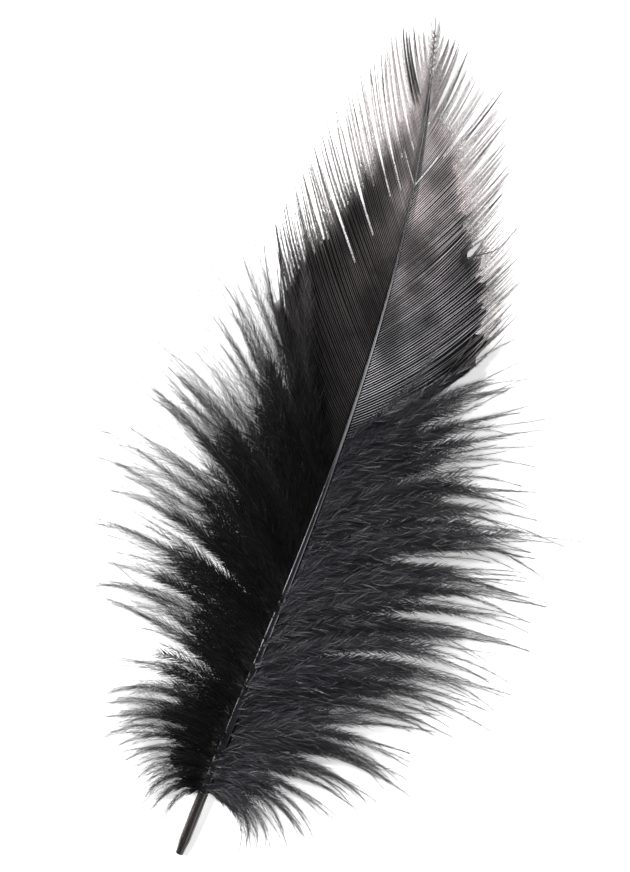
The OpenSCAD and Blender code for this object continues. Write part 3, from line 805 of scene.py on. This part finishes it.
def grow_down(strands, sizes, barbs, pick, rng):
    """Stems and barbules of the picked barbs, and the mats and webs that close the down at the shaft."""
    along = barbs.along
    left = barbs.side == LEFT
    thick = sizes.down_stem * (1 - 0.75 * along ** 0.7) * np.interp(along, [0, 0.03, 1], [1.8, 1, 1])
    strands.stems(barbs, pick, slice(None), np.broadcast_to(thick, (len(pick), len(along))))
    ends = 0.95 - 0.07 * rng.random(len(pick))
    grown = np.clip(barbs.size[pick].mean() / 0.025, 0.5, 1.0)

    def size(w):
        share = np.interp(w, [0, 0.05, 0.5, 0.8, 1.0], [0.8, 1.0, 0.85, 0.42, 0.08])
        return sizes.down_barbule * grown * share

    outer = (0.35 if left else 0.5) + 0.45 * rng.random(len(pick))
    loose = 1.5 if left else 1.2
    strands.barbules(rng, barbs, pick, outer, ends, 1.05 * sizes.down_barbule_gap,
                     lambda w: loose * size(w), lambda w: 30 * loose - 30 * w ** 2,
                     lambda w: 0.000027 - 0.00001 * w, roll=50, bend=0.4, ruffle=0.3, spin=60)
    strands.barbules(rng, barbs, pick, 0.0, outer, 0.9 * sizes.down_barbule_gap,
                     size, lambda w: 32 - 18 * w ** 1.5,
                     lambda w: 0.000038 - 0.000012 * w, roll=50, bend=0.35, ruffle=0.2, spin=60)
    mats = np.interp(barbs.share[pick], [0.08, 0.2], [0.3, 0.42 if left else 0.52])
    mats = mats * (0.55 + 0.9 * rng.random(len(pick)))
    strands.barbules(rng, barbs, pick, 0.0, mats, 0.00022, lambda w: 0.9 * size(w), 30,
                     lambda w: 0.00015 - 0.0001 * w, roll=10, spin=10, sink=0.001, mat=True)
    near = pick[pick + 1 < len(barbs.share)]
    reach = np.interp(barbs.share[near], [0.1, 0.2, 0.35, 0.5], [0.04, 0.08, 0.2, 0.3])
    strands.web(barbs, near, near + 1, reach, 0.00008)


# ---------------- operators

def pieces_of(side, pieces, start, share):
    """Each piece's CAD node and body on one side, its end, and its barbs."""
    for name, body, end in pieces:
        end = end or VANE_START[side]
        pick = np.flatnonzero((share >= start) & (share < end))
        yield f"{name}_{WORDS[side]}", f"{body}_{WORDS[side]}", end, pick
        start = end


class FEATHER_OT_stage(bpy.types.Operator):
    """Lays the pale floor, which glows with painted light, and sets the soft lights and the camera"""

    bl_idname = "feather.stage"
    bl_label = "Stage"

    def execute(self, context):
        scene = context.scene
        scene.view_settings.view_transform = "Standard"
        finish = Finish("pale_floor")
        # The floor glows with painted light: it keeps the floor evenly white and the feather's shadows on
        # it faint, and lights the feather a little from below
        finish.surface(Base_Color=scene.feather_colours.floor, Roughness=0.9,
                       Emission_Color=(1.0, 1.0, 1.0), Emission_Strength=0.6)
        mesh = bpy.data.meshes.new("floor")
        reach = 3.0
        corners = [(-reach, -reach, 0), (reach, -reach, 0), (reach, reach, 0), (-reach, reach, 0)]
        mesh.from_pydata(corners, [], [(0, 1, 2, 3)])
        floor = bpy.data.objects.new("floor", mesh)
        mesh.materials.append(finish.material)
        scene.collection.objects.link(floor)
        world = bpy.data.worlds.new("soft_room")
        world.use_nodes = True
        background = world.node_tree.nodes["Background"].inputs
        background["Color"].default_value = (1, 1, 1, 1)
        background["Strength"].default_value = 0.22
        scene.world = world
        low, high = CAD_BOX
        middle = (low + high) / 2
        for name, power, size, direction in SOFTBOXES:
            lamp = bpy.data.lights.new(name, "AREA")
            lamp.shape, lamp.size, lamp.energy = "DISK", size, power
            light = bpy.data.objects.new(name, lamp)
            light.location = middle + Vector(direction).normalized() * LIGHT_DISTANCE
            light.rotation_euler = Vector(direction).to_track_quat("Z", "Y").to_euler()
            scene.collection.objects.link(light)
        camera = bpy.data.objects.new("camera", bpy.data.cameras.new("camera"))
        camera.data.sensor_fit = "VERTICAL"
        camera.data.sensor_height = 36.0
        camera.data.lens = 36.0 * VIEW_DISTANCE / VIEW_HEIGHT
        camera.data.clip_start, camera.data.clip_end = 0.01, 20.0
        camera.location = (middle.x - 0.00398, middle.y + 0.00008, VIEW_DISTANCE + MM)
        camera.rotation_euler = (0, 0, math.radians(VIEW_TURN))
        scene.collection.objects.link(camera)
        scene.camera = camera
        return {"FINISHED"}


class FEATHER_OT_shaft(bpy.types.Operator):
    """Makes the calamus and the rachis, with its groove and the ridges where the barbs join it"""

    bl_idname = "feather.shaft"
    bl_label = "Shaft"

    def execute(self, context):
        sizes, colours = context.scene.feather_sizes, context.scene.feather_colours
        shaft = Shaft(sizes.feather)
        joint = sizes.calamus / sizes.feather
        shares = np.concatenate([np.linspace(joint + 0.0002, 0.2, 120), np.linspace(0.2, 1.0, 480)[1:]])
        middle = shaft.point(shares)
        tangent = unit(np.gradient(middle, axis=0))
        across = unit(np.cross(tangent, [0.0, 0.0, 1.0]))
        up = np.cross(across, tangent)
        sides = 48
        turn = 2 * math.pi * np.arange(sides + 1) / sides
        soft_x = np.sign(np.cos(turn)) * np.abs(np.cos(turn)) ** 0.8
        soft_y = np.sign(np.sin(turn)) * np.abs(np.sin(turn)) ** 0.8
        open_part = ramp(shares, 0.10, 0.22)[:, None] * np.ones((1, sides + 1))
        dip = np.maximum(0, 1 - ((np.degrees(turn) - 90) / 32) ** 2)[None, :] * 0.3 * open_part
        width = shaft.width(shares)[:, None]
        flat = 1 - 0.1 * ramp(shares, joint, 0.12)[:, None]
        rng = np.random.default_rng(3)
        steps = np.arange(sides + 1)
        furrow = 0.012 * np.interp(steps, steps[::3], rng.normal(0, 1, sides // 3 + 1))
        beat = np.sin(shares * sizes.feather / sizes.vane_pitch * 2 * math.pi)[:, None]
        ridge = 0.05 * np.abs(np.cos(turn))[None, :] ** 6 * beat
        swell = 1 + furrow[None, :] + ridge * ramp(shares, 0.3, 0.7)[:, None]
        points = (middle[:, None]
                  + across[:, None] * (width / 2 * soft_x * swell)[..., None]
                  + up[:, None] * (width / 2 * flat * (soft_y * swell - dip))[..., None])
        rachis = skin("rachis", points, rachis_finish(colours), round_ends=True)
        place(rachis, "shaft", "rachis_keratin", "rachis_cortex")

        low = shaft.point(np.array([0.0]))[0]
        high = shaft.point(np.array([joint]))[0]
        reach = np.linalg.norm(high - low)
        axis = (high - low) / reach
        sideways = unit(np.cross(axis, [0.0, 0.0, 1.0]))
        above = np.cross(sideways, axis)
        profile = calamus_profile(reach)
        sides = 64
        turn = 2 * math.pi * np.arange(sides + 1) / sides
        ring = np.cos(turn)[:, None] * sideways + np.sin(turn)[:, None] * above
        points = low + axis * profile[:, None, 1:] + ring[None] * profile[:, None, :1]
        calamus = skin("calamus_quill", points, calamus_finish(colours), round_ends=False)
        place(calamus, "shaft", "calamus_keratin", "calamus")
        return {"FINISHED"}


def calamus_profile(reach):
    """Distance from the axis and along it, from inside the open end of the lumen round to the rachis."""
    inside = [(0.61, reach / MM), (0.61, 2.2), (0.41, 0.3), (0.17, 0.3), (0.15, 0.27), (0.15, 0.05),
              (0.19, 0.0)]
    lip = [(0.33 + 0.22 * math.sin(a), 0.22 - 0.22 * math.cos(a)) for a in np.linspace(0, math.pi / 2, 8)]
    body = [(0.55 + 0.2 * ramp(t, 0.22, 2.4), t) for t in np.linspace(0.3, 2.6, 16)]
    top = [(0.75 - 0.045 * ramp(t, 5.0, reach / MM), t) for t in np.linspace(2.8, reach / MM, 40)]
    return np.array(inside + lip + body + top) * MM


def skin(name, points, material, round_ends):
    """A closed sleeve over rings of points, mapped lengthwise and around."""
    rings, sides = points.shape[0], points.shape[1] - 1
    if round_ends:
        for end, inner in ((0, 1), (-1, -2)):
            centre = points[end, :-1].mean(0)
            points[end] = centre + (points[end] - centre) * 0.55
    grid = np.arange(rings * (sides + 1)).reshape(rings, sides + 1)
    quads = np.stack([grid[:-1, :-1], grid[1:, :-1], grid[1:, 1:], grid[:-1, 1:]], -1).reshape(-1, 4)
    faces = np.vstack([quads[:, [0, 1, 2]], quads[:, [0, 2, 3]]])
    run = np.concatenate([[0], np.cumsum(np.linalg.norm(np.diff(points[:, 0], axis=0), axis=1))])
    marks = np.stack(np.meshgrid(run / run[-1], np.linspace(0.02, 0.98, sides + 1), indexing="ij"), -1)
    sleeve = Strands()
    sleeve.add(points, faces, np.concatenate([marks, 0 * marks], -1))
    return sleeve.build(name, material)


class FEATHER_OT_inner_parts(bpy.types.Operator):
    """Gives the pith, the pulp caps and the two plugs inside the shaft their finishes"""

    bl_idname = "feather.inner_parts"
    bl_label = "Inner parts"

    def execute(self, context):
        pith = context.scene.feather_colours.pith
        looks = {
            "rachis_pith": pith_finish("pith_foam", pith, (0.3, 0.27, 0.22), 6000),
            "pulp_cap_stack": pith_finish("pulp_caps", (0.4, 0.33, 0.26), (0.2, 0.15, 0.11), 9000),
            "lower_umbilicus": pith_finish("lower_plug", (0.16, 0.12, 0.1), (0.05, 0.04, 0.035), 14000),
            "upper_umbilicus": pith_finish("upper_plug", (0.2, 0.16, 0.13), (0.07, 0.05, 0.04), 9000),
        }
        for node, material in looks.items():
            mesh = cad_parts[node].data
            mesh.materials.clear()
            mesh.materials.append(material)
        return {"FINISHED"}


class FEATHER_OT_vane(bpy.types.Operator):
    """Grows the closed vane on both sides of the shaft, and the two locks that are stuck together"""

    bl_idname = "feather.vane"
    bl_label = "Vane"

    def execute(self, context):
        sizes, colours = context.scene.feather_sizes, context.scene.feather_colours
        shaft = Shaft(sizes.feather)
        # Each vane gets a painted highlight on its stems, far stronger on the right, and painted shade
        # between them
        finishes = {
            side: strand_finish("vane_" + WORDS[side], dark, colours.vane_pale, rough=0.38,
                                stem_highlight=STEM_HIGHLIGHT[side], stem_dark=0.35, valley_shade=0.9, gloss=0.08)
            for side, dark in ((LEFT, colours.vane_left), (RIGHT, colours.vane_right))}
        stuck = strand_finish("stuck_barbs", (0.006, 0.005, 0.006), colours.vane_pale, rough=0.35,
                              stem_highlight=0.0, stem_dark=0.35, valley_shade=0.0, gloss=0.3)
        for side, lock, node in (
                (LEFT, TWISTED_LOCK, "twisted_barbs_left"), (RIGHT, KINKED_LOCK, "kinked_lock_right")):
            barbs = vane_barbs(shaft, sizes, side)
            rng = np.random.default_rng(71 + side)
            in_lock = (barbs.share > lock[0]) & (barbs.share < lock[1])
            for name, body, end, pick in pieces_of(side, VANE_PIECES, VANE_START[side], barbs.share):
                strands = Strands()
                grow_vane(strands, sizes, barbs, pick[~in_lock[pick]], rng)
                if in_lock[pick].any():
                    grow_vane(strands, sizes, barbs, pick[in_lock[pick]], rng, end=lock[2])
                # No web crosses from the upper vane to the tip, which moves on its own
                web_vane(strands, barbs, pick if end < 0.8 else pick[:-1])
                place(strands.build(name + "_barbs", finishes[side]), body, "vane_" + WORDS[side], name)
            strands = Strands()
            grow_vane(strands, sizes, barbs, np.flatnonzero(in_lock), rng, start=lock[2], stuck=True)
            body = "tip_left" if side == LEFT else "vane_right"
            place(strands.build(node + "_strands", stuck), body, "stuck_barbs", node)
        return {"FINISHED"}


class FEATHER_OT_down(bpy.types.Operator):
    """Grows the free down on both sides of the shaft and the two tufts at the calamus"""

    bl_idname = "feather.down"
    bl_label = "Down"

    def execute(self, context):
        sizes, colours = context.scene.feather_sizes, context.scene.feather_colours
        shaft = Shaft(sizes.feather)
        # The left down takes the darker, shaded colour and the right down the lighter, lit one: painted
        # shade and painted light
        for side, dark, gloss in ((LEFT, colours.down_left, 0.15), (RIGHT, colours.down_right, 0.4)):
            # The down's stems get a weak painted highlight
            finish = strand_finish("down_" + WORDS[side], dark, colours.down_pale, rough=0.4,
                                   stem_highlight=0.3, stem_dark=0.9, valley_shade=0.0, gloss=gloss)
            barbs = down_barbs(shaft, sizes, side)
            rng = np.random.default_rng(91 + side)
            for name, body, _, pick in pieces_of(side, DOWN_PIECES, TUFT_START, barbs.share):
                strands = Strands()
                grow_down(strands, sizes, barbs, pick, rng)
                place(strands.build(name + "_barbs", finish), body, "down_" + WORDS[side], name)
        return {"FINISHED"}


class FEATHER_PT_panel(bpy.types.Panel):
    """Lists the steps, the sizes and the colours"""

    bl_label = "Feather"
    bl_idname = "FEATHER_PT_panel"
    bl_space_type = "VIEW_3D"
    bl_region_type = "UI"
    bl_category = "Feather"

    def draw(self, context):
        for operator in OPERATORS:
            self.layout.operator(operator.bl_idname)
        for group in (context.scene.feather_sizes, context.scene.feather_colours):
            for key in type(group).__annotations__:
                self.layout.prop(group, key)


OPERATORS = (FEATHER_OT_stage, FEATHER_OT_shaft, FEATHER_OT_inner_parts, FEATHER_OT_vane, FEATHER_OT_down)
CLASSES = (FeatherSizes, FeatherColours, *OPERATORS, FEATHER_PT_panel)


def register():
    for cls in CLASSES:
        bpy.utils.register_class(cls)
    bpy.types.Scene.feather_sizes = PointerProperty(type=FeatherSizes)
    bpy.types.Scene.feather_colours = PointerProperty(type=FeatherColours)


def unregister():
    del bpy.types.Scene.feather_colours
    del bpy.types.Scene.feather_sizes
    for cls in reversed(CLASSES):
        bpy.utils.unregister_class(cls)


def main():
    register()
    bpy.ops.feather.stage()
    bpy.ops.feather.shaft()
    bpy.ops.feather.inner_parts()
    bpy.ops.feather.vane()
    bpy.ops.feather.down()


if __name__ == "__main__":
    main()
